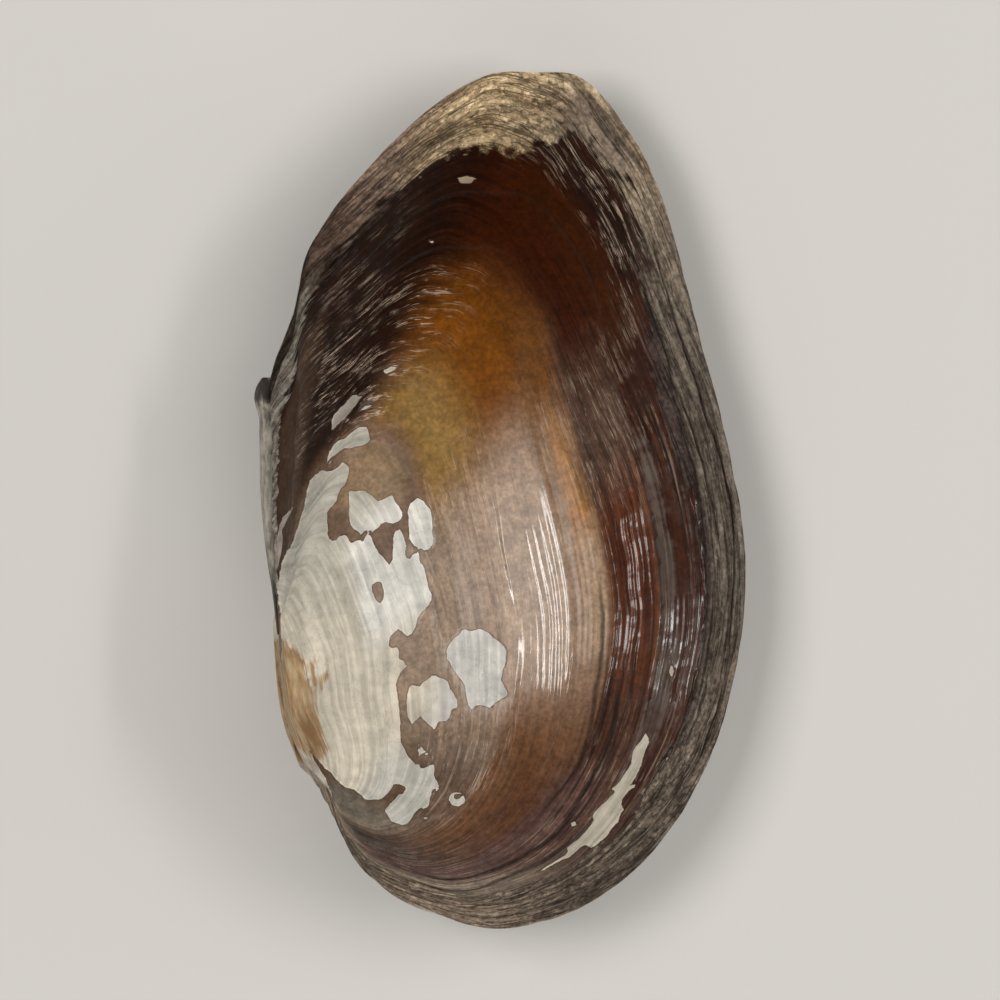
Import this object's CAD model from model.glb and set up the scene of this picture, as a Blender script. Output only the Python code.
from math import radians

import bmesh
import bpy
import numpy
from mathutils import Euler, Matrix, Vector


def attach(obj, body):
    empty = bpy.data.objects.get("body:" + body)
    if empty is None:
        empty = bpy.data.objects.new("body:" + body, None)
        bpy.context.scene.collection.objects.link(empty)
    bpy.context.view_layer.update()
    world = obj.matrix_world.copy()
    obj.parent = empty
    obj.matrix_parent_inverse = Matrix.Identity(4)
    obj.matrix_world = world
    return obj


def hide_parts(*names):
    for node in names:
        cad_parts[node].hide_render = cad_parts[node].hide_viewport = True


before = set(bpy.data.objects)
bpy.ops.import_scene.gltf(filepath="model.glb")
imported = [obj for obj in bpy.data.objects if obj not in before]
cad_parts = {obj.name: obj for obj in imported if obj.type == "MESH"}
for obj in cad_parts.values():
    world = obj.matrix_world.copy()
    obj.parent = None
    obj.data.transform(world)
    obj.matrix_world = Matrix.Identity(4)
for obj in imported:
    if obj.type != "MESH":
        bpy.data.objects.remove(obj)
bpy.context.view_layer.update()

# The camera hangs straight over the shell, as in the photograph, with the rear end at the top of
# the picture. Its scale is measured at the level of the beak.
MM = 0.001
CAMERA_AT = Vector((0.04, -0.41, 466.1)) * MM
CAMERA_RISE = 450.0 * MM        # over the beak
PICTURE_WIDTH = 93.46 * MM      # of the whole picture, at the level of the beak
PICTURE_PIXELS = 1000

camera_data = bpy.data.cameras.new("camera")
camera_data.sensor_width = 36.0
camera_data.lens = camera_data.sensor_width * CAMERA_RISE / PICTURE_WIDTH
camera_data.clip_start = 0.01
camera_data.clip_end = 20.0
camera = bpy.data.objects.new("camera", camera_data)
camera.location = CAMERA_AT
bpy.context.scene.collection.objects.link(camera)
bpy.context.scene.camera = camera
bpy.context.scene.view_settings.view_transform = "Standard"

# The floor is a plain sheet of pale card, wide enough to fill the view from low down.
FLOOR_HALF = 3.0
FLOOR_COLOUR = (0.72, 0.71, 0.69)

floor_mesh = bmesh.new()
bmesh.ops.create_grid(floor_mesh, x_segments=2, y_segments=2, size=FLOOR_HALF)
floor_data = bpy.data.meshes.new("floor")
floor_mesh.to_mesh(floor_data)
floor_mesh.free()
floor = bpy.data.objects.new("floor", floor_data)
bpy.context.scene.collection.objects.link(floor)
card = bpy.data.materials.new("pale_card")
card.use_nodes = True
card.node_tree.nodes["Principled BSDF"].inputs["Base Color"].default_value = (*FLOOR_COLOUR, 1)
card.node_tree.nodes["Principled BSDF"].inputs["Roughness"].default_value = 0.9
floor_data.materials.append(card)

# Studio light: a broad soft box high on the belly side, three strips lower down, whose reflections
# break up into streaks on the ribbed skin, a soft key high on the hinge side, and a weak fill in
# front. The room has pale walls, darker on the belly side, under a dark ceiling.
LIGHT_DISTANCE = 0.6            # from the middle of the floor
LIGHT_COLOUR = (1.0, 0.97, 0.93)
LIGHTS = (      # name, turn from +X, height over the floor in degrees, width, length, watts
    ("broad_box", 12, 64, 0.34, 0.46, 1.05),
    ("streak_strip", 3, 53, 0.26, 0.036, 0.52),
    ("low_strip", 2, 26, 0.24, 0.026, 0.20),
    ("edge_strip", -7, 11, 0.16, 0.036, 0.26),
    ("hinge_key", 165, 66, 0.22, 0.22, 1.55),
    ("front_fill", -100, 42, 0.60, 0.60, 0.60),
)
WALL_STRENGTH = 0.80
BELLY_WALL_STRENGTH = 0.25
CEILING_STRENGTH = 0.03
ROOM_COLOUR = (1.0, 0.985, 0.96)

room = bpy.data.worlds.new("pale_room")
room.use_nodes = True
room_tree = room.node_tree
looking = room_tree.nodes.new("ShaderNodeSeparateXYZ")
room_tree.links.new(
    room_tree.nodes.new("ShaderNodeTexCoord").outputs["Generated"], looking.inputs[0])
wall = room_tree.nodes.new("ShaderNodeMapRange")
wall.interpolation_type = "SMOOTHSTEP"
room_tree.links.new(looking.outputs["X"], wall.inputs["Value"])
wall.inputs["From Min"].default_value = -0.2
wall.inputs["From Max"].default_value = 0.8
wall.inputs["To Min"].default_value = WALL_STRENGTH
wall.inputs["To Max"].default_value = BELLY_WALL_STRENGTH
ceiling = room_tree.nodes.new("ShaderNodeMapRange")
ceiling.interpolation_type = "SMOOTHSTEP"
room_tree.links.new(looking.outputs["Z"], ceiling.inputs["Value"])
room_tree.links.new(wall.outputs["Result"], ceiling.inputs["To Min"])
ceiling.inputs["From Min"].default_value = 0.05
ceiling.inputs["From Max"].default_value = 0.50
ceiling.inputs["To Max"].default_value = CEILING_STRENGTH
room_light = room_tree.nodes["Background"]
room_light.inputs["Color"].default_value = (*ROOM_COLOUR, 1)
room_tree.links.new(ceiling.outputs["Result"], room_light.inputs["Strength"])
bpy.context.scene.world = room
for name, turn, height, width, length, watts in LIGHTS:
    box_data = bpy.data.lights.new(name, "AREA")
    box_data.shape = "RECTANGLE"
    box_data.size = width
    box_data.size_y = length
    box_data.energy = watts
    box_data.color = LIGHT_COLOUR
    box = bpy.data.objects.new(name, box_data)
    towards = Euler((0, -radians(height), radians(turn))).to_matrix() @ Vector((1, 0, 0))
    box.location = towards * LIGHT_DISTANCE
    box.rotation_euler = towards.to_track_quat("Z", "Y").to_euler()
    box.visible_camera = False
    bpy.context.scene.collection.objects.link(box)

# Left valve: one plate of shell that grew at its edge, so its lines, ledges and colours follow the
# edge as it was at each age. A varnish-like brown skin covers it. The skin has flaked off the
# beak down to the bare shell, and a dull crust lies on the youngest growth round the edge.
# It touches the other valve along the edge and is tied to it by the ligament.
MARGIN = (      # in millimetres: depth below the hinge line, distance behind the beak, lift of the dome
    (0.4, -0.4, 0.6), (1.3, -3.8, 3.5), (3.6, -7.8, 7.0), (5.3, -11.7, 9.5),
    (8.3, -15.8, 12.5), (12.9, -18.4, 15.5), (18.5, -20.1, 18.5), (25.3, -19.1, 22.5),
    (31.5, -15.9, 26.0), (36.6, -10.7, 29.0), (40.5, -4.3, 31.5), (43.1, 2.9, 33.0),
    (44.5, 9.6, 33.7), (44.7, 16.7, 34.0), (43.6, 26.2, 34.0), (41.9, 36.2, 33.5),
    (40.2, 45.8, 33.0), (38.6, 51.3, 32.5), (35.7, 56.4, 31.5), (32.8, 59.4, 30.4),
    (29.0, 60.0, 29.0), (24.6, 60.1, 27.7), (19.5, 57.9, 26.0), (14.2, 53.8, 23.0), (9.5, 49.3, 19.0),
    (5.8, 44.3, 14.5), (4.2, 39.2, 10.0), (1.7, 33.8, 5.5), (0.5, 28.1, 2.4),
)
CURVE_STEPS = 24                # between two stations of a curve
MARGIN_POINTS = 2400
TURN = 0.9                      # of the growth spiral, in radians for an age 2.7 times as high
FULLNESS = 0.6                  # how much more the dome swells as it grows
BEAK_OVERHANG = 0.15            # how much of the spiral's turn back the beak keeps
YOUNGEST_AGE = 0.05             # the beak's tip; the edge has the age 1
WEAR_DEPTH = 1.4 * MM           # the worn hollow in front of the beak
WEAR_CENTRE = -5.0 * MM
WEAR_LENGTH = 4.8 * MM
WEAR_REACH = 6.0 * MM
EDGE_HEIGHT = 0.15 * MM         # of the edge over the plane where the valves meet
SKIRT_HEIGHT = 0.05 * MM        # the edge's lip comes down to here
PITCH = radians(-2.8)           # how the shell lies: these turns, and where its beak is
ROLL = radians(6.9)
LEAN = radians(4.76)
BEAK_AT = Vector((-19.96, -22.00, 16.1)) * MM
VALVE_COLUMNS = 321
ROWS = ((YOUNGEST_AGE, 0.50, 72), (0.50, 0.86, 132), (0.86, 1.00, 78))  # from age to age, how many
LEDGES = (0.30, 0.42, 0.545, 0.634, 0.71, 0.80, 0.874, 0.93)
LEDGE_HEIGHT = 0.20 * MM
RIBS = 560.0                    # turns of the fine ribs' wave from beak to edge, in radians
RIB_HEIGHT = 0.008              # this and the next three in millimetres
RIPPLE_HEIGHT = 0.014
WRINKLE_HEIGHT = 0.012
LUMP_HEIGHT = 0.12
BARE_DEPTH = 0.08 * MM
CREVICE_DEPTH = 0.12 * MM
HOLLOW_CENTRE = Vector((24.0, 17.0, 0.0)) * MM      # the room inside is the dome drawn in round this
HOLLOW_SCALE = Vector((0.92, 0.95, 0.86))
HOLLOW_COLUMNS = 61
HOLLOW_AGES = numpy.linspace(0.10, 1.0, 16)

# Where the skin has flaked off the left valve, as outlines in the picture's pixels.
LEFT_BARE = (
    # the worn beak
    ((343, 462), (348, 466), (350, 471), (347, 478), (346, 485), (340, 489), (338, 495),
     (336, 502), (330, 508), (327, 511), (327, 520), (328, 530), (329, 538), (333, 541),
     (338, 539), (340, 535), (346, 535), (349, 540), (351, 543), (355, 541), (360, 540),
     (362, 544), (364, 540), (366, 535), (369, 534), (372, 538), (374, 545), (379, 553),
     (384, 558), (389, 565), (392, 564), (393, 553), (393, 540), (394, 532), (400, 529),
     (403, 534), (405, 541), (407, 546), (405, 554), (406, 558), (410, 559), (413, 555),
     (416, 552), (419, 555), (420, 562), (424, 567), (426, 573), (427, 581), (429, 589),
     (432, 595), (431, 602), (426, 609), (420, 614), (417, 619), (416, 625), (414, 631),
     (410, 636), (407, 636), (402, 632), (398, 629), (393, 634), (389, 638), (389, 646),
     (391, 648), (397, 647), (399, 651), (399, 659), (401, 661), (404, 659), (405, 664),
     (407, 666), (402, 671), (399, 676), (396, 684), (397, 693), (399, 704), (400, 718),
     (400, 730), (401, 742), (405, 750), (408, 756), (412, 760), (416, 765), (419, 764),
     (421, 769), (426, 767), (431, 765), (434, 764), (435, 769), (434, 775), (436, 780),
     (438, 783), (439, 788), (436, 792), (434, 788), (432, 791), (430, 798), (429, 806),
     (425, 809), (421, 807), (416, 812), (411, 819), (407, 824), (403, 826), (399, 824),
     (391, 821), (387, 816), (385, 810), (389, 805), (395, 799), (399, 793), (403, 794),
     (406, 789), (404, 785), (394, 784), (391, 790), (386, 795), (382, 799), (370, 800),
     (365, 799), (360, 794), (354, 790), (346, 787), (339, 782), (334, 776), (330, 771),
     (325, 769), (321, 764), (316, 757), (311, 752), (306, 747), (300, 743), (290, 735),
     (262, 720), (262, 665), (277, 668), (281, 660), (282, 650), (281, 635), (281, 619),
     (279, 606), (279, 594), (277, 586), (279, 578), (281, 566), (284, 556), (287, 552),
     (292, 544), (295, 537), (297, 529), (300, 520), (303, 512), (305, 504), (306, 496),
     (307, 489), (310, 480), (314, 476), (319, 472), (323, 470), (327, 471), (334, 470),
     (339, 467), (341, 463)),
    # patches behind and below it
    ((349, 492), (352, 490), (355, 491), (364, 490), (368, 493), (373, 497), (378, 501),
     (384, 499), (389, 496), (392, 495), (395, 500), (398, 506), (402, 512), (404, 517),
     (399, 521), (396, 524), (391, 523), (385, 522), (381, 524), (379, 526), (377, 530),
     (372, 531), (367, 530), (364, 532), (361, 535), (359, 532), (354, 529), (351, 526),
     (349, 520), (349, 511), (349, 500)),
    ((408, 509), (410, 503), (414, 501), (417, 498), (424, 501), (427, 506), (431, 511),
     (432, 518), (432, 530), (434, 541), (431, 548), (427, 551), (418, 548), (413, 544),
     (410, 539), (409, 527), (408, 517)),
    ((447, 647), (451, 642), (456, 637), (461, 632), (464, 628), (469, 631), (473, 631),
     (479, 629), (485, 631), (490, 634), (495, 639), (501, 643), (505, 647), (507, 652),
     (506, 660), (503, 670), (501, 680), (505, 688), (508, 692), (506, 696), (500, 700),
     (494, 704), (490, 708), (486, 706), (480, 705), (476, 706), (471, 710), (468, 704),
     (466, 695), (465, 686), (462, 681), (459, 677), (455, 672), (451, 666), (450, 662),
     (447, 659), (447, 651)),
    ((409, 686), (411, 685), (414, 685), (418, 688), (423, 682), (427, 681), (431, 676),
     (434, 674), (438, 677), (444, 679), (448, 682), (450, 689), (454, 694), (457, 700),
     (458, 706), (456, 709), (452, 709), (450, 715), (449, 720), (444, 721), (438, 722),
     (436, 727), (434, 730), (431, 726), (426, 722), (422, 718), (419, 715), (417, 718),
     (416, 722), (413, 725), (411, 722), (408, 717), (407, 707), (407, 695)),
    # a long flake near the belly edge, towards the front
    ((646, 733), (648, 737), (649, 741), (646, 750), (643, 757), (641, 765), (639, 771),
     (634, 779), (629, 786), (636, 784), (636, 787), (631, 789), (627, 792), (622, 799),
     (621, 804), (624, 808), (620, 814), (618, 821), (612, 827), (607, 835), (600, 841),
     (591, 848), (586, 845), (580, 847), (576, 852), (570, 857), (561, 861), (552, 865),
     (544, 870), (539, 872), (544, 868), (551, 864), (559, 859), (566, 855), (569, 851),
     (567, 848), (572, 844), (578, 840), (582, 836), (587, 830), (591, 825), (594, 820),
     (592, 817), (592, 814), (600, 805), (607, 800), (612, 796), (616, 791), (611, 789),
     (612, 786), (617, 785), (621, 780), (626, 772), (631, 765), (632, 757), (635, 747),
     (639, 744), (642, 739)),
    # a worn strip in front of the beak
    ((262, 735), (286, 732), (293, 735), (301, 741), (306, 748), (311, 753), (314, 760),
     (318, 766), (322, 773), (326, 778), (328, 785), (331, 790), (333, 797), (335, 803),
     (333, 815), (315, 800), (300, 782), (262, 765)),
    # chips
    ((357, 395), (359, 397), (363, 396), (360, 399), (357, 404), (352, 410), (345, 418),
     (339, 424), (334, 429), (332, 431), (332, 424), (334, 416), (337, 413), (343, 406),
     (349, 400), (354, 395)),
    ((360, 427), (367, 427), (369, 432), (370, 440), (371, 442), (364, 445), (355, 447),
     (349, 449), (345, 448), (340, 451), (335, 455), (330, 458), (328, 461), (324, 463),
     (327, 459), (329, 452), (332, 446), (338, 441), (345, 438), (350, 434), (355, 430)),
    ((325, 466), (329, 462), (333, 460), (329, 464), (326, 467)),
    ((356, 413), (361, 408), (366, 406), (373, 405), (366, 409), (360, 411)),
    ((344, 422), (349, 418), (348, 421), (345, 423)),
    ((383, 371), (391, 367), (400, 368), (393, 371), (386, 375)),
    ((449, 797), (451, 794), (454, 792), (459, 792), (463, 794), (465, 799), (464, 803),
     (459, 806), (455, 806), (451, 804), (449, 800)),
    ((419, 742), (421, 746), (425, 751), (429, 755), (430, 759), (427, 756), (423, 753),
     (420, 752), (419, 757), (417, 752)),
    ((423, 812), (426, 817), (430, 818), (424, 820)),
    ((670, 666), (672, 665), (674, 669), (674, 674), (671, 677), (669, 672)),
    ((668, 655), (670, 654), (670, 658), (669, 659)),
    ((570, 823), (575, 821), (576, 825), (571, 827)),
    ((291, 510), (294, 505), (291, 513), (288, 519), (285, 526), (283, 529), (283, 540),
     (282, 549), (280, 559), (279, 563), (277, 573), (277, 558), (277, 543), (278, 532),
     (280, 522), (283, 518), (287, 515)),
    ((457, 178), (466, 176), (477, 178), (470, 183), (460, 183)),
    ((428, 240), (432, 240), (434, 243), (430, 243)),
)
# Islands of skin left inside the bare patches.
LEFT_SKIN = (
    ((372, 585), (375, 582), (381, 582), (383, 586), (384, 595), (382, 601), (379, 605),
     (377, 601), (374, 596), (372, 590)),
    ((453, 795), (457, 793), (461, 795), (461, 798), (455, 799)),
)
# Where the bare beak is stained tan, and its darker marks.
LEFT_STAIN = (
    ((250, 640), (283, 640), (293, 647), (299, 654), (304, 661), (305, 670), (306, 680),
     (311, 686), (315, 692), (316, 703), (318, 716), (321, 728), (325, 738), (328, 748),
     (325, 760), (316, 762), (300, 750), (250, 745)),
    ((306, 663), (310, 666), (312, 659), (315, 661), (316, 670), (319, 678), (321, 689),
     (315, 686), (310, 682), (306, 679), (312, 676), (309, 671)),
    ((322, 673), (326, 671), (329, 675), (328, 680), (325, 685), (321, 682)),
)


def smooth_through(stations, count):
    """Evenly spaced points on a smooth curve through all the stations."""
    given = numpy.array(stations)
    padded = numpy.vstack([2 * given[0] - given[1], given, 2 * given[-1] - given[-2]])
    step = numpy.linspace(0, 1, CURVE_STEPS, endpoint=False)[:, None]
    pieces = []
    for before, start, end, after in zip(padded, padded[1:], padded[2:], padded[3:]):
        bend = 2 * before - 5 * start + 4 * end - after
        twist = 3 * start - before - 3 * end + after
        pieces.append(start + 0.5 * ((end - before) * step + bend * step**2 + twist * step**3))
    curve = numpy.vstack(pieces + [given[-1:]])
    strides = numpy.linalg.norm(numpy.diff(curve[:, :2], axis=0), axis=1)
    along = numpy.concatenate([[0], numpy.cumsum(strides)])
    even = numpy.linspace(0, along[-1], count)
    return numpy.stack([numpy.interp(even, along, column) for column in curve.T], axis=1)


def growth_places(along, age):
    """Places, in the valve's own frame, of points this far round the edge at these ages."""
    margin = smooth_through(MARGIN, MARGIN_POINTS) * MM
    share = numpy.linspace(0, 1, MARGIN_POINTS)
    depth, behind, lift = [numpy.interp(along, share, column) for column in margin.T]
    turn = TURN * numpy.log(1 / age)
    reach = numpy.cos(turn)
    reach = numpy.where(reach < 0, reach * BEAK_OVERHANG, reach)
    x = age * depth * reach
    y = age * behind
    wear = ((y - WEAR_CENTRE) / WEAR_LENGTH) ** 2 + (x / WEAR_REACH) ** 2
    z = age * lift * numpy.sin(turn) * (1 + FULLNESS * age) + EDGE_HEIGHT
    return numpy.stack([x + WEAR_DEPTH * numpy.exp(-wear), y, z], axis=1)


def growth_normals(along, age):
    """Unit directions that point out of the shell at the same points."""
    stride = 0.002
    here, there = numpy.maximum(along - stride, 0), numpy.minimum(along + stride, 1)
    across = growth_places(there, age) - growth_places(here, age)
    up = growth_places(along, numpy.minimum(age + stride, 1)) - growth_places(along, age - stride)
    out = numpy.cross(up, across)
    return out / numpy.maximum(numpy.linalg.norm(out, axis=1, keepdims=True), 1e-12)


def to_resting_pose(places):
    """From the valve's own frame to where the shell lies."""
    turn = numpy.array(Euler((PITCH, ROLL, LEAN)).to_matrix())
    return places @ turn.T + numpy.array(BEAK_AT)


def picture_places(places):
    """Where points of the left valve's frame are in the picture, in pixels from its top left."""
    seen = to_resting_pose(places)
    scale = CAMERA_RISE / (CAMERA_AT.z - seen[:, 2]) * PICTURE_PIXELS / PICTURE_WIDTH
    right = PICTURE_PIXELS / 2 + (seen[:, 0] - CAMERA_AT.x) * scale
    down = PICTURE_PIXELS / 2 - (seen[:, 1] - CAMERA_AT.y) * scale
    return numpy.stack([right, down], axis=1)


def wander(across, along, seed):
    """Smooth seeded random values from -1 to 1 over two coordinates, with features 1 wide."""
    table = numpy.random.default_rng(seed).uniform(-1, 1, (256, 256))
    column = numpy.floor(across).astype(int)
    row = numpy.floor(along).astype(int)
    x = across - column
    y = along - row
    x = x * x * (3 - 2 * x)
    y = y * y * (3 - 2 * y)
    low = table[row % 256, column % 256] * (1 - x) + table[row % 256, (column + 1) % 256] * x
    high = (table[(row + 1) % 256, column % 256] * (1 - x)
            + table[(row + 1) % 256, (column + 1) % 256] * x)
    return low * (1 - y) + high * y


def rough(across, along, seed, layers=3):
    """Wander with finer and finer layers on top, still within about -1 to 1."""
    total = sum(wander(across * 2**n, along * 2**n, seed + n) / 2**n for n in range(layers))
    return total / 1.5


def ramp(value, start, end):
    """0 before start, 1 after end, and a smooth step between."""
    share = numpy.clip((value - start) / (end - start), 0, 1)
    return share * share * (3 - 2 * share)


def distance_inside(points, outline):
    """How far points lie inside a closed outline; outside it they are below 0."""
    corners = numpy.array(outline, float)
    nearest = numpy.full(len(points), 1e9)
    inside = numpy.zeros(len(points), bool)
    for start, end in zip(corners, numpy.roll(corners, -1, axis=0)):
        side = end - start
        share = numpy.clip(((points - start) @ side) / (side @ side), 0, 1)
        gap = points - start - share[:, None] * side
        nearest = numpy.minimum(nearest, (gap**2).sum(axis=1))
        crosses = (start[1] > points[:, 1]) != (end[1] > points[:, 1])
        height = side[1] if side[1] else 1e-9
        crossing = start[0] + (points[:, 1] - start[1]) / height * side[0]
        inside ^= crosses & (points[:, 0] < crossing)
    return numpy.where(inside, 1, -1) * numpy.sqrt(nearest)


def bare_depth(pixels, bare, skin):
    """How far a point is inside a bare patch, in millimetres."""
    depth = numpy.full(len(pixels), -1e9)
    for outline in bare:
        depth = numpy.maximum(depth, distance_inside(pixels, outline))
    for outline in skin:
        depth = numpy.minimum(depth, -distance_inside(pixels, outline))
    return numpy.clip(depth * PICTURE_WIDTH / PICTURE_PIXELS / MM, -2, 2)


# Colours of the skin: from, to and blur along the edge, the same in age, and the colour. Each lies
# over those before it.
SKIN_BASE = (0.14, 0.075, 0.045)
SKIN_ZONES = (
    (0.24, 0.70, 0.05, 0.00, 0.56, 0.03, (0.275, 0.200, 0.145)),  # streaked grey brown
    (0.00, 0.33, 0.06, 0.00, 0.56, 0.03, (0.120, 0.072, 0.045)),  # red brown by the front
    (0.14, 0.38, 0.05, 0.54, 0.71, 0.02, (0.138, 0.065, 0.033)),  # satin red brown
    (0.20, 0.32, 0.05, 0.55, 0.64, 0.02, (0.108, 0.046, 0.018)),  # deeper, below the line
    (0.12, 0.30, 0.04, 0.60, 0.70, 0.02, (0.090, 0.038, 0.018)),  # darker towards the front
    (0.37, 0.64, 0.05, 0.50, 0.71, 0.04, (0.300, 0.200, 0.135)),  # pinkish middle
    (0.51, 0.63, 0.03, 0.62, 0.71, 0.02, (0.215, 0.120, 0.062)),  # browner behind it
    (0.41, 0.58, 0.05, 0.53, 0.63, 0.03, (0.375, 0.270, 0.200)),  # paler within it
    (0.45, 0.58, 0.04, 0.660, 0.702, 0.008, (0.300, 0.140, 0.045)),  # orange strip
    (0.40, 0.490, 0.02, 0.664, 0.700, 0.008, (0.350, 0.235, 0.155)),  # paler at its front end
    (0.64, 0.80, 0.03, 0.56, 0.74, 0.04, (0.070, 0.020, 0.0025)),  # dark amber
    (0.61, 0.75, 0.04, 0.42, 0.66, 0.05, (0.155, 0.048, 0.003)),  # amber glow
    (0.59, 0.67, 0.03, 0.645, 0.71, 0.02, (0.125, 0.044, 0.007)),  # its darker rim
    (0.60, 0.74, 0.05, 0.44, 0.54, 0.05, (0.255, 0.150, 0.044)),  # olive tan
    (0.58, 0.88, 0.04, 0.00, 0.45, 0.02, (0.155, 0.098, 0.066)),  # pinkish brown by the beak
    (0.64, 0.76, 0.03, 0.34, 0.43, 0.02, (0.255, 0.170, 0.098)),  # paler by the bare patch
    (0.12, 0.55, 0.03, 0.705, 0.80, 0.006, (0.072, 0.021, 0.007)),  # dark red brown
    (0.40, 0.50, 0.03, 0.725, 0.785, 0.010, (0.060, 0.0135, 0.0035)),  # deeper red within it
    (0.12, 0.36, 0.03, 0.705, 0.86, 0.008, (0.058, 0.026, 0.017)),  # purple brown by the front
    (0.14, 0.37, 0.03, 0.705, 0.742, 0.006, (0.040, 0.015, 0.008)),  # darkest at its start
    (0.08, 0.20, 0.02, 0.765, 0.802, 0.008, (0.300, 0.250, 0.200)),  # a pale band in it
    (0.51, 0.62, 0.03, 0.695, 0.88, 0.025, (0.076, 0.042, 0.029)),  # hazy brown
    (0.12, 0.60, 0.03, 0.800, 0.92, 0.006, (0.036, 0.010, 0.004)),  # dark under the film
    (0.59, 0.80, 0.04, 0.705, 1.00, 0.03, (0.033, 0.0060, 0.0004)),  # near black
    (0.60, 0.72, 0.03, 0.790, 0.840, 0.03, (0.034, 0.0080, 0.0008)),  # a warmer streak in it
    (0.745, 0.84, 0.03, 0.68, 0.88, 0.03, (0.012, 0.0022, 0.0002)),  # blackest behind that
    (0.61, 0.72, 0.02, 0.855, 1.00, 0.015, (0.016, 0.0060, 0.0030)),  # and between pale lines
    (0.75, 1.00, 0.03, 0.46, 1.00, 0.04, (0.014, 0.0042, 0.0014)),  # near black by the hinge
    (0.88, 1.00, 0.015, 0.38, 0.80, 0.04, (0.055, 0.030, 0.017)),  # satin brown by the hinge
    (0.30, 0.62, 0.03, 0.900, 1.00, 0.008, (0.045, 0.028, 0.024)),  # purple dark lines
    (0.00, 0.26, 0.05, 0.78, 1.00, 0.02, (0.085, 0.055, 0.042)),  # purplish brown
    (0.00, 0.21, 0.03, 0.26, 0.50, 0.04, (0.165, 0.135, 0.105)),  # dull patch in front
    (0.00, 0.18, 0.04, 0.52, 0.68, 0.04, (0.060, 0.040, 0.030)),  # dark blotch
    (0.08, 0.30, 0.03, 0.67, 0.78, 0.02, (0.085, 0.045, 0.036)),  # purplish by the front
    (0.00, 0.20, 0.04, 0.76, 1.00, 0.03, (0.210, 0.165, 0.122)),  # grey brown front
    (0.00, 0.09, 0.03, 0.30, 1.00, 0.05, (0.290, 0.235, 0.175)),  # pale strip in front
)
# Pale strokes along the growth lines: the same limits, and how strong they are.
STROKE_ZONES = (
    (0.22, 0.62, 0.05, 0.42, 0.56, 0.02, 0.55),
    (0.72, 0.81, 0.03, 0.43, 0.68, 0.03, 0.80),
    (0.79, 0.90, 0.02, 0.54, 0.70, 0.03, 0.92),
    (0.80, 0.90, 0.02, 0.70, 0.84, 0.03, 0.42),
    (0.10, 0.34, 0.04, 0.70, 0.90, 0.03, 0.35),
    (0.56, 0.71, 0.03, 0.85, 0.96, 0.02, 0.70),
    (0.08, 0.20, 0.04, 0.60, 0.92, 0.03, 0.40),
    (0.49, 0.60, 0.03, 0.64, 0.88, 0.03, 0.40),
)
# How much lighter and darker the skin gets along its lines.
LINES_BASE = 0.10
LINES_ZONES = (
    (0.30, 0.56, 0.04, 0.700, 1.00, 0.010, 0.85),
    (0.08, 0.34, 0.04, 0.700, 1.00, 0.010, 0.62),
    (0.00, 0.24, 0.05, 0.450, 1.00, 0.040, 0.60),
    (0.24, 0.62, 0.04, 0.420, 0.54, 0.020, 0.35),
    (0.16, 0.62, 0.04, 0.540, 0.70, 0.020, 0.22),
    (0.52, 0.64, 0.04, 0.670, 0.86, 0.030, 0.50),
    (0.56, 0.72, 0.04, 0.870, 1.00, 0.020, 1.00),
    (0.73, 0.90, 0.03, 0.550, 1.00, 0.050, 0.70),
    (0.84, 1.00, 0.03, 0.380, 0.56, 0.040, 0.30),
)
# A thin grey film over the skin.
FILM_ZONES = (
    (0.39, 0.54, 0.03, 0.804, 0.838, 0.010, 1.02),
    (0.31, 0.41, 0.03, 0.804, 0.854, 0.010, 1.02),
    (0.52, 0.61, 0.02, 0.800, 0.865, 0.010, 0.66),
    (0.53, 0.62, 0.02, 0.700, 0.800, 0.020, 0.56),
    (0.32, 0.62, 0.04, 0.905, 0.935, 0.008, 0.84),
    (0.16, 0.38, 0.04, 0.705, 0.724, 0.004, 0.62),
    (0.20, 0.62, 0.05, 0.440, 0.530, 0.020, 0.62),
    (0.78, 0.90, 0.03, 0.840, 0.960, 0.030, 0.72),
)
# How strongly varnished the skin is.
VARNISH_BASE = 0.02
VARNISH_ZONES = (
    (0.26, 0.56, 0.06, 0.42, 0.90, 0.04, 0.95),
    (0.10, 0.34, 0.06, 0.50, 0.92, 0.04, 0.45),
    (0.74, 0.97, 0.05, 0.46, 0.90, 0.05, 0.10),
)
# The inner edge of the crust, as places along the edge and ages.
CRUST_ALONG = (0.00, 0.12, 0.18, 0.22, 0.28, 0.33, 0.37, 0.45, 0.50, 0.56, 0.60, 0.65, 0.69, 0.708,
               0.722, 0.738, 0.76, 0.80, 0.83, 0.87, 0.92, 0.955, 0.965, 0.98, 1.00)
CRUST_AGE = (0.80, 0.80, 0.84, 0.87, 0.875, 0.895, 0.897, 0.895, 0.884, 0.880, 0.905, 0.950, 0.945,
             0.890, 0.862, 0.862, 0.876, 0.885, 0.890, 0.88, 0.85, 0.82, 0.66, 0.46, 0.42)
CRUST_BLUR = (0.08, 0.08, 0.07, 0.06, 0.05, 0.035, 0.030, 0.030, 0.035, 0.045, 0.06, 0.07, 0.06,
              0.035, 0.035, 0.035, 0.03, 0.03, 0.04, 0.06, 0.06, 0.03, 0.03, 0.04, 0.05)
# How lumpy the crust is round the edge, rather than lined.
LUMPY_ALONG = (0.00, 0.12, 0.30, 0.40, 0.60, 0.69, 0.72, 0.80, 0.86, 1.00)
LUMPY_SHARE = (0.10, 0.40, 0.70, 0.35, 0.05, 0.10, 0.65, 0.55, 0.10, 0.00)
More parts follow.
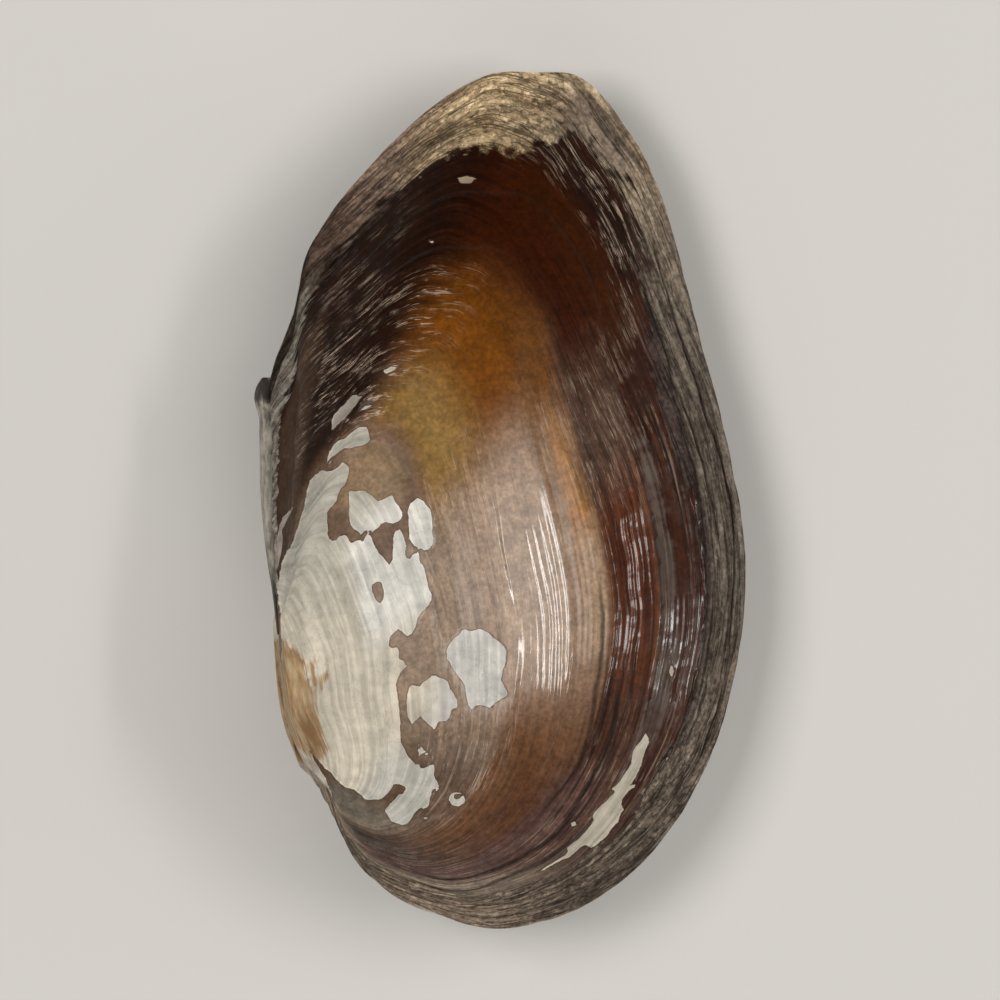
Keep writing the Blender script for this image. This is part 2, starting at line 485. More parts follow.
# The crust's pale colour round the edge.
CRUST_COLOUR_ALONG = (0.00, 0.15, 0.28, 0.40, 0.52, 0.62, 0.70, 0.76, 0.82, 0.87, 0.93, 0.96, 1.00)
CRUST_COLOURS = (
    (0.42, 0.33, 0.255), (0.46, 0.365, 0.28), (0.33, 0.27, 0.21), (0.25, 0.205, 0.168),
    (0.25, 0.21, 0.170), (0.33, 0.27, 0.20), (0.60, 0.47, 0.31), (0.98, 0.75, 0.44),
    (0.38, 0.275, 0.20), (0.170, 0.112, 0.082), (0.12, 0.090, 0.070), (0.40, 0.37, 0.31),
    (0.50, 0.46, 0.39),
)
# Parts of the crust with a colour of their own, in the same form as the skin's.
CRUST_ZONES = (
    (0.33, 0.60, 0.02, 0.84, 0.915, 0.012, (0.092, 0.066, 0.058)),  # purple grey inner band
    (0.36, 0.58, 0.03, 0.915, 1.00, 0.012, (0.232, 0.194, 0.153)),  # khaki outside it
    (0.18, 0.36, 0.03, 0.92, 1.00, 0.02, (0.285, 0.235, 0.187)),  # and by the belly edge
    (0.70, 0.80, 0.02, 0.80, 0.880, 0.010, (0.62, 0.46, 0.25)),  # yellow brown by the dark top
    (0.655, 0.712, 0.015, 0.90, 0.985, 0.012, (0.30, 0.235, 0.175)),  # pinkish grey behind it
    (0.10, 0.18, 0.02, 0.78, 1.00, 0.02, (0.50, 0.40, 0.305)),  # paler by the front
    (0.895, 0.98, 0.015, 0.80, 0.925, 0.012, (0.34, 0.31, 0.255)),  # grey band by the hinge
    (0.90, 0.985, 0.01, 0.935, 1.00, 0.01, (0.055, 0.040, 0.030)),  # dark edge by the ligament
)
# Colours of the bare shell.
BARE_BASE = (0.66, 0.60, 0.49)
BARE_ZONES = (
    (0.60, 1.00, 0.10, 0.22, 0.50, 0.05, (0.50, 0.475, 0.405)),  # greener grey behind
    (0.48, 0.66, 0.04, 0.315, 0.60, 0.015, (0.74, 0.72, 0.66)),  # whiter below the beak
    (0.30, 0.56, 0.04, 0.42, 0.60, 0.03, (0.64, 0.62, 0.58)),  # the two patches below it
    (0.10, 0.32, 0.04, 0.34, 0.60, 0.03, (0.56, 0.54, 0.48)),  # the patches in front
    (0.76, 1.00, 0.03, 0.46, 0.60, 0.02, (0.36, 0.32, 0.28)),  # the flakes by the hinge
    (0.00, 0.40, 0.06, 0.75, 0.95, 0.04, (0.50, 0.45, 0.37)),  # the long flake by the belly edge
    (0.00, 0.25, 0.015, 0.00, 0.215, 0.012, (0.44, 0.38, 0.325)),  # the worn strip in front
    (0.00, 0.12, 0.015, 0.00, 0.60, 0.02, (0.44, 0.38, 0.325)),
    (0.70, 0.80, 0.01, 0.79, 0.87, 0.01, (0.34, 0.27, 0.17)),  # the chip in the dark top
)
# Long dark crevices between bands of growth: half their width in age, their share of the full
# depth, and their places along the edge and ages.
CREVICES = (
    (0.0032, 1.00, ((0.30, 0.968), (0.356, 0.975), (0.373, 0.973), (0.402, 0.966), (0.429, 0.970),
                    (0.455, 0.978), (0.481, 0.979), (0.509, 0.969), (0.549, 0.958),
                    (0.577, 0.952), (0.63, 0.945))),
    (0.0030, 0.90, ((0.42, 0.937), (0.454, 0.933), (0.474, 0.928), (0.492, 0.930), (0.528, 0.922),
                    (0.544, 0.911), (0.572, 0.911), (0.588, 0.905), (0.625, 0.900))),
    (0.0026, 0.55, ((0.36, 0.943), (0.40, 0.949), (0.45, 0.955), (0.49, 0.953), (0.53, 0.945))),
    (0.0050, 0.60, ((0.29, 0.862), (0.308, 0.874), (0.325, 0.895), (0.339, 0.912), (0.355, 0.920),
                    (0.383, 0.918), (0.43, 0.914))),
    (0.0080, 0.90, ((0.13, 0.70), (0.142, 0.728), (0.162, 0.749), (0.186, 0.749), (0.209, 0.747),
                    (0.236, 0.754), (0.252, 0.758), (0.278, 0.747), (0.293, 0.749),
                    (0.33, 0.749), (0.353, 0.739), (0.38, 0.735))),
    (0.0085, 0.85, ((0.12, 0.80), (0.157, 0.809), (0.176, 0.805), (0.190, 0.788), (0.206, 0.786),
                    (0.235, 0.795), (0.27, 0.80))),
    (0.0045, 0.75, ((0.25, 0.690), (0.285, 0.697), (0.305, 0.707), (0.335, 0.699), (0.366, 0.692),
                    (0.405, 0.690), (0.46, 0.692))),
    (0.0045, 0.60, ((0.23, 0.785), (0.26, 0.768), (0.309, 0.766), (0.348, 0.772), (0.376, 0.757),
                    (0.42, 0.752))),
)
# Where the ribs stand higher.
STREAKED = (0.32, 0.44, 0.02, 0.850, 0.905, 0.010)


def zone_share(zone, along, age):
    """How much of a zone's own value there is at these places, from 0 to 1."""
    start, end, blur, young, old, soft = zone[:6]
    inside = ramp(along, start - blur, start + blur) * (1 - ramp(along, end - blur, end + blur))
    return inside * ramp(age, young - soft, young + soft) * (1 - ramp(age, old - soft, old + soft))


def painted(base, zones, along, age):
    """A colour for each place: the base, with each zone laid over what is before it."""
    colour = numpy.zeros((len(along), 3)) + base
    for zone in zones:
        share = zone_share(zone, along, age)[:, None]
        colour = colour * (1 - share) + numpy.array(zone[6]) * share
    return colour


def strongest(zones, along, age):
    """The strongest of the zones' values at each place."""
    return numpy.max([zone_share(zone, along, age) * zone[6] for zone in zones], axis=0)


def ledge_rise(age, along, seed):
    """How far each band of growth stands over the one before it, in metres."""
    rise = numpy.zeros(len(age))
    starts = (YOUNGEST_AGE, *LEDGES)
    for number, (start, ledge) in enumerate(zip(starts, LEDGES)):
        wave = ledge + 0.004 * wander(along * 14, along * 0, seed + number)
        share = numpy.clip((age - start) / (ledge - start), 0, 1)
        strength = 0.6 + 0.4 * wander(along * 9, along * 0, seed + 40 + number)
        rise += LEDGE_HEIGHT * strength * share**2 * (1 - ramp(age, wave, wave + 0.008))
    return rise


def crevice_share(along, age, seed):
    """How deep in a crevice each place is, from 0 to 1."""
    total = numpy.zeros(len(along))
    for number, (half_width, strength, stations) in enumerate(CREVICES):
        places, ages = numpy.transpose(stations)
        line = numpy.interp(along, places, ages)
        line += 0.0022 * rough(along * 90, along * 0, seed + 10 * number)
        width = half_width * (1 + 0.5 * rough(along * 50, along * 0, seed + 10 * number + 5))
        fade = ramp(along, places[0], places[0] + 0.03) * (1 - ramp(along, places[-1] - 0.03, places[-1]))
        depth = strength * fade * (1 - ramp(numpy.abs(age - line), width * 0.3, width * 1.2))
        total = numpy.maximum(total, depth)
    return total


def put(data, name, kind, field, values):
    """Stores a value for every corner of the mesh, for the material to read."""
    layer = data.attributes.new(name, kind, "POINT")
    layer.data.foreach_set(field, numpy.ascontiguousarray(values, numpy.float32).ravel())


def lower_lip(lip, beak_row):
    """Brings a lip down to its plane, and straight from end to end under the beak's row of corners."""
    start, end = beak_row[0].co.copy(), beak_row[-1].co.copy()
    shares = {corner: place / (len(beak_row) - 1) for place, corner in enumerate(beak_row)}
    lowered = {element for element in lip if isinstance(element, bmesh.types.BMVert)}
    for corner in lowered:
        above = next(edge.other_vert(corner) for edge in corner.link_edges
                     if edge.other_vert(corner) not in lowered)
        if above in shares:
            corner.co = start.lerp(end, shares[above])
        corner.co.z = SKIRT_HEIGHT


def corners_round(lip):
    """The corners of a lip's free edge, one way round, from the deepest one back to it."""
    left = {element for element in lip if isinstance(element, bmesh.types.BMEdge) and element.is_boundary}
    corners = [next(element for element in lip if element in left).verts[0]]
    while left:
        step = next(edge for edge in corners[-1].link_edges if edge in left)
        left.remove(step)
        corners.append(step.other_vert(corners[-1]))
    corners.pop()
    area = 0.0
    for corner, following in zip(corners, corners[1:] + corners[:1]):
        area += corner.co.x * following.co.y - following.co.x * corner.co.y
    if area < 0:
        corners.reverse()
    depths = [corner.co.x for corner in corners]
    first = depths.index(max(depths))
    return corners[first:] + corners[:first + 1]


def sew_rim(sheet, outer, inner):
    """Triangles between two such rounds of corners, always by the shorter way across."""
    faces = []
    while len(outer) > 1 or len(inner) > 1:
        outer_way = (outer[1].co - inner[0].co).length if len(outer) > 1 else 1.0
        inner_way = (inner[1].co - outer[0].co).length if len(inner) > 1 else 1.0
        if outer_way < inner_way:
            faces.append(sheet.faces.new((outer[0], outer[1], inner[0])))
            outer = outer[1:]
        else:
            faces.append(sheet.faces.new((outer[0], inner[1], inner[0])))
            inner = inner[1:]
    return faces


def growth_line_ages(along, age):
    """Ages bent so that equal values follow the growth lines where they leave the edge's shape."""
    bent = age - 6 * numpy.maximum(along - 0.80, 0) ** 2
    bent += 0.15 * numpy.clip(along - 0.5, 0, 0.25) * (1 - ramp(age, 0.42, 0.52))
    bent += 0.2 * numpy.minimum(along - 0.4, 0) * (1 - ramp(age, 0.60, 0.80))
    bent += 0.055 * ramp(along, 0.48, 0.66) * (1 - ramp(along, 0.68, 0.76)) * ramp(age, 0.62, 0.75)
    bent += 0.055 * (1 - ramp(along, 0.20, 0.36)) * ramp(age, 0.83, 0.92)
    return bent


def fine_relief(along, age, line_age, crust, seed):
    """Ripples and ribs of the skin and lumps of the crust, in metres."""
    ripple = RIPPLE_HEIGHT * rough(along * 7, line_age * 50, seed + 70) * ramp(age, 0.2, 0.4)
    rib_phase = RIBS * line_age + 3.0 * rough(along * 8, line_age * 30, seed + 80)
    rib_phase += 2.4 * wander(along * 55, line_age * 12, seed + 83) * ramp(age, 0.685, 0.71)
    rib_height = RIB_HEIGHT * (1 + 0.75 * wander(along * 6, line_age * 25, seed + 86))
    rib_height *= 1 - 0.65 * ramp(along, 0.47, 0.56)
    rib_height *= 1 + 1.3 * zone_share(STREAKED, along, age)
    ripple += rib_height * numpy.sin(rib_phase) * ramp(age, 0.50, 0.54)
    ripple += WRINKLE_HEIGHT * wander(along * 60, line_age * 10, seed + 89) * ramp(age, 0.66, 0.72)
    lump = LUMP_HEIGHT + 0.13 * rough(along * 60, line_age * 60, seed + 90)
    lump += 0.11 * rough(along * 26, line_age * 130, seed + 100)
    lump += 0.12 * rough(along * 22, line_age * 28, seed + 95)
    lump *= 1 + 0.5 * numpy.interp(along, LUMPY_ALONG, LUMPY_SHARE)
    lump *= 1 - 0.6 * ramp(age, 0.96, 1.0)
    lump += 0.10 * ramp(age, 0.95, 1.0) * rough(along * 70, age * 0, seed + 110, 2)
    return MM * (ripple * (1 - 0.8 * crust) + crust * lump)


def close_underneath(sheet):
    """Adds the lip of the edge, the room inside and the rim between the two; returns the inner faces."""
    rim = [edge for edge in sheet.edges if edge.is_boundary]
    beak_row = list(sheet.verts)[:VALVE_COLUMNS]
    outer_lip = bmesh.ops.extrude_edge_only(sheet, edges=rim)["geom"]
    lower_lip(outer_lip, beak_row)
    lining = bmesh.ops.create_grid(
        sheet, x_segments=HOLLOW_COLUMNS - 1, y_segments=len(HOLLOW_AGES) - 1, size=0.5)["verts"]
    along = numpy.array([vert.co.x + 0.5 for vert in lining])
    rows = numpy.rint([(vert.co.y + 0.5) * (len(HOLLOW_AGES) - 1) for vert in lining])
    for vert, place in zip(lining, growth_places(along, HOLLOW_AGES[rows.astype(int)])):
        vert.co = HOLLOW_CENTRE + (Vector(place) - HOLLOW_CENTRE) * HOLLOW_SCALE
    inner_faces = {face for vert in lining for face in vert.link_faces}
    rim = [edge for edge in sheet.edges if edge.is_boundary and edge.link_faces[0] in inner_faces]
    inner_lip = bmesh.ops.extrude_edge_only(sheet, edges=rim)["geom"]
    lower_lip(inner_lip, lining[:HOLLOW_COLUMNS])
    inner_faces.update(element for element in inner_lip if isinstance(element, bmesh.types.BMFace))
    inner_faces.update(sew_rim(sheet, corners_round(outer_lip), corners_round(inner_lip)))
    return inner_faces


def grow_valve(name, side, seed, bare, skin, stain, ragged):
    """A valve's mesh: side is 1 for the left and -1 for the right."""
    ages = numpy.concatenate([numpy.linspace(*rows, endpoint=rows[1] == 1.0) for rows in ROWS])
    sheet = bmesh.new()
    bmesh.ops.create_grid(
        sheet, x_segments=VALVE_COLUMNS - 1, y_segments=len(ages) - 1, size=0.5)
    data = bpy.data.meshes.new(name)
    sheet.to_mesh(data)
    flat = numpy.zeros(len(data.vertices) * 3)
    data.vertices.foreach_get("co", flat)
    flat = flat.reshape(-1, 3)
    along = flat[:, 0] + 0.5
    age = ages[numpy.rint((flat[:, 1] + 0.5) * (len(ages) - 1)).astype(int)]
    places = growth_places(along, age)
    pixels = picture_places(places)

    # what lies where
    line_age = growth_line_ages(along, age)
    bare_mm = bare_depth(pixels, bare, skin) + ragged * rough(along * 24, age * 18, seed + 200)
    crevices = crevice_share(along, age, seed + 300)
    crust_from = numpy.interp(along, CRUST_ALONG, CRUST_AGE)
    crust_from += 0.012 * rough(along * 30, age * 8, seed + 60)
    crust_blur = numpy.interp(along, CRUST_ALONG, CRUST_BLUR)
    crust = ramp(age, crust_from - 0.004, crust_from + 0.010)

    # the form, down to the lumps and crevices
    relief = ledge_rise(age, along, seed) + fine_relief(along, age, line_age, crust, seed)
    relief -= BARE_DEPTH * ramp(bare_mm, -0.05, 0.10) * (1 - 0.9 * crust)
    relief -= CREVICE_DEPTH * crevices * (0.25 + 0.75 * crust)
    relief *= ramp(numpy.minimum(along, 1 - along), 0.0, 0.02)
    places += growth_normals(along, age) * relief[:, None]
    places[:, 2] = numpy.maximum(places[:, 2], EDGE_HEIGHT)
    data.vertices.foreach_set("co", places.ravel())

    # what the material reads
    crust_tone = numpy.stack(
        [numpy.interp(along, CRUST_COLOUR_ALONG, c) for c in numpy.transpose(CRUST_COLOURS)], 1)
    crust_tone *= (0.88 + 0.30 * ramp(age, 0.92, 0.97))[:, None]
    put(data, "growth", "FLOAT_VECTOR", "vector", numpy.stack([along, line_age, 0 * age], axis=1))
    colours = {
        "skin": painted(SKIN_BASE, SKIN_ZONES, along, age),
        "bare_tone": painted(BARE_BASE, BARE_ZONES, along, age),
        "crust_tone": painted(crust_tone, CRUST_ZONES, along, age),
    }
    for field, colour in colours.items():
        put(data, field, "FLOAT_COLOR", "color", numpy.hstack([colour, numpy.ones((len(age), 1))]))
    values = {
        "bare": bare_mm,
        "stain": bare_depth(pixels, stain, ()),
        "crust": ramp(age, crust_from - crust_blur, crust_from + crust_blur),
        "crevices": crevices,
        "strokes": strongest(STROKE_ZONES, along, age),
        "film": strongest(FILM_ZONES, along, age),
        "lines": numpy.maximum(strongest(LINES_ZONES, along, age), LINES_BASE),
        "varnish": numpy.maximum(strongest(VARNISH_ZONES, along, age), VARNISH_BASE),
        "lumpy": numpy.interp(along, LUMPY_ALONG, LUMPY_SHARE),
    }
    for field, value in values.items():
        put(data, field, "FLOAT", "value", value)

    # closed below, turned over for the right valve, and laid as the shell lies
    sheet.clear()
    sheet.from_mesh(data)
    inner_faces = close_underneath(sheet)
    bmesh.ops.recalc_face_normals(sheet, faces=sheet.faces)
    for face in sheet.faces:
        face.smooth = True
        face.material_index = 1 if face in inner_faces else 0
    if side < 0:
        for vert in sheet.verts:
            vert.co.z = -vert.co.z
        bmesh.ops.reverse_faces(sheet, faces=sheet.faces)
    lie = Euler((PITCH, ROLL, LEAN)).to_matrix()
    for vert in sheet.verts:
        vert.co = lie @ vert.co + BEAK_AT
        vert.co.z = max(vert.co.z, 0.0)
    sheet.to_mesh(data)
    sheet.free()
    return data


class Channel:
    """A value or colour that changes over the surface; arithmetic on values adds Math nodes."""

    def __init__(self, tree, socket):
        self.tree = tree
        self.socket = socket

    def calculate(self, operation, *values):
        node = self.tree.nodes.new("ShaderNodeMath")
        node.operation = operation
        for target, value in zip(node.inputs, values):
            feed(target, value)
        return Channel(self.tree, node.outputs[0])

    def __add__(self, other):
        return self.calculate("ADD", self, other)

    def __sub__(self, other):
        return self.calculate("SUBTRACT", self, other)

    def __rsub__(self, other):
        return self.calculate("SUBTRACT", other, self)

    def __mul__(self, other):
        return self.calculate("MULTIPLY", self, other)

    def __abs__(self):
        return self.calculate("ABSOLUTE", self)

    def or_larger(self, other):
        return self.calculate("MAXIMUM", self, other)

    def or_smaller(self, other):
        return self.calculate("MINIMUM", self, other)


def feed(target, value):
    """Gives a node's input a plain value or a channel."""
    if isinstance(value, Channel):
        value.tree.links.new(value.socket, target)
    else:
        target.default_value = value


def add_node(tree, kind, output, **inputs):
    """A new node's output, with these values or channels on its inputs."""
    node = tree.nodes.new(kind)
    for name, value in inputs.items():
        feed(node.inputs[name.replace("_", " ")], value)
    return Channel(tree, node.outputs[output])


def read(tree, name, output="Fac"):
    """A value that the mesh stores for each of its corners."""
    channel = add_node(tree, "ShaderNodeAttribute", output)
    channel.socket.node.attribute_name = name
    return channel


def noise_of(place, scale, detail=3.0, roughness=0.55):
    """Noise from about 0 to 1 at these coordinates."""
    return add_node(place.tree, "ShaderNodeTexNoise", "Fac", Vector=place, Scale=scale,
                    Detail=detail, Roughness=roughness)


def step_between(value, start, end, low=0.0, high=1.0):
    """Low before start, high after end, and a smooth step between."""
    result = add_node(value.tree, "ShaderNodeMapRange", "Result", Value=value, From_Min=start,
                      From_Max=end, To_Min=low, To_Max=high)
    result.socket.node.interpolation_type = "SMOOTHSTEP"
    return result


def spread(noise, low=0.0, high=1.0):
    """Noise, most of which is near its middle, stretched between two values."""
    return step_between(noise, 0.33, 0.67, low, high)


def thin_line(noise, level, width):
    """Thin lines, where the noise passes a level."""
    return step_between(abs(noise - level), width, width * 0.4)


def mix_values(share, first, second):
    """A mix of two values."""
    mixed = add_node(share.tree, "ShaderNodeMix", 0, Factor=share)
    feed(mixed.socket.node.inputs[2], first)
    feed(mixed.socket.node.inputs[3], second)
    return mixed


def blend_colours(share, first, second, mode="MIX"):
    """A mix of two colours, or one laid over the other in this mode."""
    tree = next(value.tree for value in (share, first, second) if isinstance(value, Channel))
    node = tree.nodes.new("ShaderNodeMix")
    node.data_type = "RGBA"
    node.blend_type = mode
    feed(node.inputs[0], share)
    feed(node.inputs[6], (*first, 1.0) if isinstance(first, tuple) else first)
    feed(node.inputs[7], (*second, 1.0) if isinstance(second, tuple) else second)
    return Channel(tree, node.outputs[2])


def shaded(colour, value):
    """A colour made darker or lighter by a value."""
    grey = add_node(value.tree, "ShaderNodeCombineColor", 0, Red=value, Green=value, Blue=value)
    return blend_colours(1.0, colour, grey, "MULTIPLY")


def new_material(name):
    """A material, the inputs of its shader, and the object's coordinates in it."""
    material = bpy.data.materials.new(name)
    material.use_nodes = True
    place = add_node(material.node_tree, "ShaderNodeTexCoord", "Object")
    return material, material.node_tree.nodes["Principled BSDF"].inputs, place


def growth_line_group():
    """Streaks that follow the growth lines: across and along set how fine they are."""
    group = bpy.data.node_groups.new("growth_lines", "ShaderNodeTree")
    sockets = group.interface
    sockets.new_socket("Growth", in_out="INPUT", socket_type="NodeSocketVector")
    for name in ("Along", "Across", "Detail"):
        sockets.new_socket(name, in_out="INPUT", socket_type="NodeSocketFloat")
    sockets.new_socket("Value", in_out="OUTPUT", socket_type="NodeSocketFloat")
    start = group.nodes.new("NodeGroupInput")
    growth, along, across, detail = [Channel(group, socket) for socket in list(start.outputs)[:4]]
    fineness = add_node(group, "ShaderNodeCombineXYZ", 0, X=along, Y=across, Z=1.0)
    stretched = add_node(group, "ShaderNodeVectorMath", 0)
    stretched.socket.node.operation = "MULTIPLY"
    feed(stretched.socket.node.inputs[0], growth)
    feed(stretched.socket.node.inputs[1], fineness)
    end = group.nodes.new("NodeGroupOutput")
    feed(end.inputs["Value"], noise_of(stretched, 1.0, detail, 0.6))
    return group


# Growth rests on the skin and creases in the bare shell, as thin lines along the growth: from and
# to along the edge, the age, and how strong.
RESTS = (
    (0.24, 0.40, 0.461, 0.70), (0.20, 0.36, 0.510, 0.55), (0.44, 0.56, 0.440, 0.70),
    (0.30, 0.56, 0.475, 0.45), (0.34, 0.60, 0.497, 0.45), (0.40, 0.58, 0.528, 0.35),
    (0.30, 0.52, 0.868, 0.40), (0.30, 0.60, 0.902, 0.40),
)
CREASES = (
    (0.48, 0.69, 0.322, 0.90), (0.52, 0.65, 0.343, 0.80), (0.50, 0.66, 0.300, 0.60),
    (0.34, 0.56, 0.286, 0.35), (0.30, 0.50, 0.262, 0.30),
)
REST_WIDTH = 0.0026
REST_SHARP_WIDTH = 0.0012
REST_FADE = 0.02


def growth_of(tree, axis):
    """How far along the edge a place is, as X, or its age, as Y."""
    return add_node(tree, "ShaderNodeSeparateXYZ", axis, Vector=read(tree, "growth", "Vector"))


def ring_lines(tree, rests):
    """The drawn lines' strength, where they run."""
    along, age = growth_of(tree, "X"), growth_of(tree, "Y")
    total = 0.0
    for start, end, rest_age, strength in rests:
        line = step_between(abs(age - rest_age), REST_WIDTH, REST_SHARP_WIDTH)
        line *= step_between(along, start - REST_FADE, start + REST_FADE)
        line *= step_between(along, end + REST_FADE, end - REST_FADE)
        total = line * strength + total
    return total


def shell_material(group):
    """Skin, film, crust and bare shell, each where the mesh says it is."""
    material, shader, place = new_material("shell_surface")
    tree = place.tree

    def lines(along, across, detail):
        """The growth line group placed with a fineness of its own."""
        node = tree.nodes.new("ShaderNodeGroup")
        node.node_tree = group
        for socket, value in zip(node.inputs, (read(tree, "growth", "Vector"), along, across, detail)):
            feed(socket, value)
        return Channel(tree, node.outputs["Value"])

    broad = lines(6.0, 36.0, 3.0)
    ribs = lines(10.0, 76.0, 2.0)
    fine = lines(13.0, 170.0, 3.0)
    hair = lines(30.0, 340.0, 2.0)
    long_lines = lines(5.0, 105.0, 5.0)
    breaks = lines(26.0, 110.0, 3.0)
    wrinkles = lines(95.0, 24.0, 2.0)
    mottle = noise_of(place, 420.0, 4.0)
    speckle = noise_of(place, 1150.0, 4.0)
    grain = noise_of(place, 2600.0, 3.0)

    # skin, darker and lighter along its lines
    contrast = spread(long_lines, -0.50, 0.80) + spread(fine, -0.25, 0.28) + spread(broad, -0.20, 0.20)
    tone = contrast * read(tree, "lines") + 1.0
    tone *= spread(mottle, 0.90, 1.10) * spread(speckle, 0.86, 1.15) * spread(grain, 0.84, 1.16)
    colour = shaded(read(tree, "skin", "Color"), tone)

    # pale strokes
    stroke = thin_line(fine, 0.53, 0.022).or_larger(thin_line(hair, 0.50, 0.022))
    stroke *= step_between(breaks, 0.48, 0.57) * step_between(mottle, 0.36, 0.56)
    colour = blend_colours(stroke * read(tree, "strokes"), colour, (0.62, 0.48, 0.36))

    # growth rests: thin pale lines
    rests = ring_lines(tree, RESTS) * spread(breaks)
    colour = blend_colours(rests, colour, (0.42, 0.32, 0.25))

    # grey film
    film = mottle * 0.9 + speckle * 0.9 + long_lines * 0.8 - 1.3 + read(tree, "film")
    film = step_between(film, 0.60, 1.24)
    film_tone = blend_colours(spread(fine), (0.068, 0.049, 0.040), (0.140, 0.108, 0.088))
    colour = blend_colours(film, colour, film_tone)

    # crust: long lines or lumps, with dark cracks and grit
    strands = lines(11.0, 62.0, 5.0)
    crumb = lines(100.0, 50.0, 5.0)
    patch = lines(54.0, 46.0, 5.0)
    lumpy = read(tree, "lumpy")
    limed = step_between(growth_of(tree, "X"), 0.955, 0.97)
    lined = mix_values(lumpy, spread(strands), spread(patch)).or_larger(limed * 0.65)
    crevice = mix_values(lumpy, thin_line(strands, 0.46, 0.030), thin_line(crumb, 0.50, 0.040))
    crevice = crevice.or_larger(thin_line(lines(5.0, 26.0, 4.0), 0.49, 0.018))
    crevice *= lumpy * 0.34 + 0.50
    crust_tone = read(tree, "crust_tone", "Color")
    crust_dark = blend_colours(lumpy, (0.60, 0.56, 0.56), (0.27, 0.20, 0.165))
    crust_dark = blend_colours(1.0, crust_tone, crust_dark, "MULTIPLY")
    crust_shade = spread(grain, 0.74, 1.24) * (1.0 - crevice)
    crust_shade *= spread(speckle, 0.72, 1.22) * spread(crumb, 0.86, 1.12)
    crust_colour = shaded(blend_colours(lined, crust_dark, crust_tone), crust_shade)
    frayed = (mottle * 1.4 + speckle * 0.9 - 1.15) * (lumpy * 0.9 + 0.2)
    frayed += (lined - 0.5) * (0.8 - lumpy * 0.8)
    frayed *= step_between(read(tree, "crust"), 0.0, 0.25)
    crust = step_between(frayed + read(tree, "crust"), 0.38, 0.60)
    colour = blend_colours(crust, colour, crust_colour)

    # long dark crevices
    crevices = read(tree, "crevices") * spread(speckle, 0.70, 1.0)
    colour = blend_colours(crevices, colour, (0.012, 0.007, 0.006))

    # bare shell, stained on the beak, with a dark outline where the skin ends
    depth = read(tree, "bare") + (noise_of(place, 1500.0, 4.0) * 0.26 - 0.13)
    bare = step_between(depth, -0.02, 0.03)
    colour = blend_colours(step_between(depth, -0.16, -0.02) * 0.35, colour, (0.05, 0.03, 0.02))
    creases = lines(4.5, 80.0, 4.0)
    cloud = noise_of(place, 260.0, 5.0, 0.65)
    veins = noise_of(place, 200.0, 6.0, 0.65)
    bare_shade = spread(creases, 0.80, 1.10) * spread(cloud, 0.84, 1.08)
    bare_shade *= spread(mottle, 0.92, 1.06) * spread(speckle, 0.93, 1.06)
    bare_shade -= thin_line(veins, 0.50, 0.014) * 0.09
    bare_shade += thin_line(creases, 0.54, 0.016) * 0.12
    bare_shade += ring_lines(tree, CREASES) * 0.22
    bare_shade += (1.0 - step_between(depth, 0.02, 0.15)) * 0.14
    stain = step_between(read(tree, "stain") + (fine * 1.5 - 0.75), -0.15, 0.25)
    stain_colour = blend_colours(spread(ribs), (0.33, 0.19, 0.085), (0.50, 0.37, 0.22))
    bare_tone = blend_colours(stain, read(tree, "bare_tone", "Color"), stain_colour)
    colour = blend_colours(bare, colour, shaded(bare_tone, bare_shade))
    feed(shader["Base Color"], colour)

    # how rough and how varnished
    roughness = spread(fine, 0.34, 0.50) + film * 0.2 + crust.or_larger(bare * 0.1) * 0.45
    feed(shader["Roughness"], roughness.or_smaller(1.0))
    varnish = (1.0 - crust.or_larger(bare)) * (1.0 - film * 0.95) * read(tree, "varnish")
    varnish *= (1.0 - crevices) * (1.0 - step_between(wrinkles, 0.56, 0.44) * read(tree, "lines") * 0.95)
    feed(shader["Coat Weight"], varnish)
    feed(shader["Coat Roughness"], 0.075)
    feed(shader["Specular IOR Level"], 0.07)

    # relief too fine for the mesh, in millimetres
    height = fine * 0.040 + hair * 0.008 + long_lines * 0.030 + wrinkles * 0.050 + speckle * 0.018
    lumps = lined * 0.12 + grain * 0.06 - crevice * 0.12 + crumb * 0.26 + speckle * 0.10
    lumps += patch * lumpy * 0.45
    height += lumps * crust - bare * 0.05
    feed(shader["Normal"], add_node(tree, "ShaderNodeBump", "Normal", Height=height, Distance=MM))
    return material


def room_material():
    """The smooth pearly lining of the room inside."""
    material, shader, place = new_material("pearly_lining")
    cloud = noise_of(place, 90.0, 3.0)
    feed(shader["Base Color"], blend_colours(cloud, (0.55, 0.50, 0.52), (0.72, 0.68, 0.60)))
    feed(shader["Roughness"], 0.25)
    return material


growth_lines = growth_line_group()
shell_surface = shell_material(growth_lines)
pearly_lining = room_material()
left_data = grow_valve("left_shell", 1, 11, LEFT_BARE, LEFT_SKIN, LEFT_STAIN, 0.0)
left_data.materials.append(shell_surface)
left_data.materials.append(pearly_lining)
left_shell = bpy.data.objects.new("left_shell", left_data)
bpy.context.scene.collection.objects.link(left_shell)
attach(left_shell, "root")
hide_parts("left_valve")

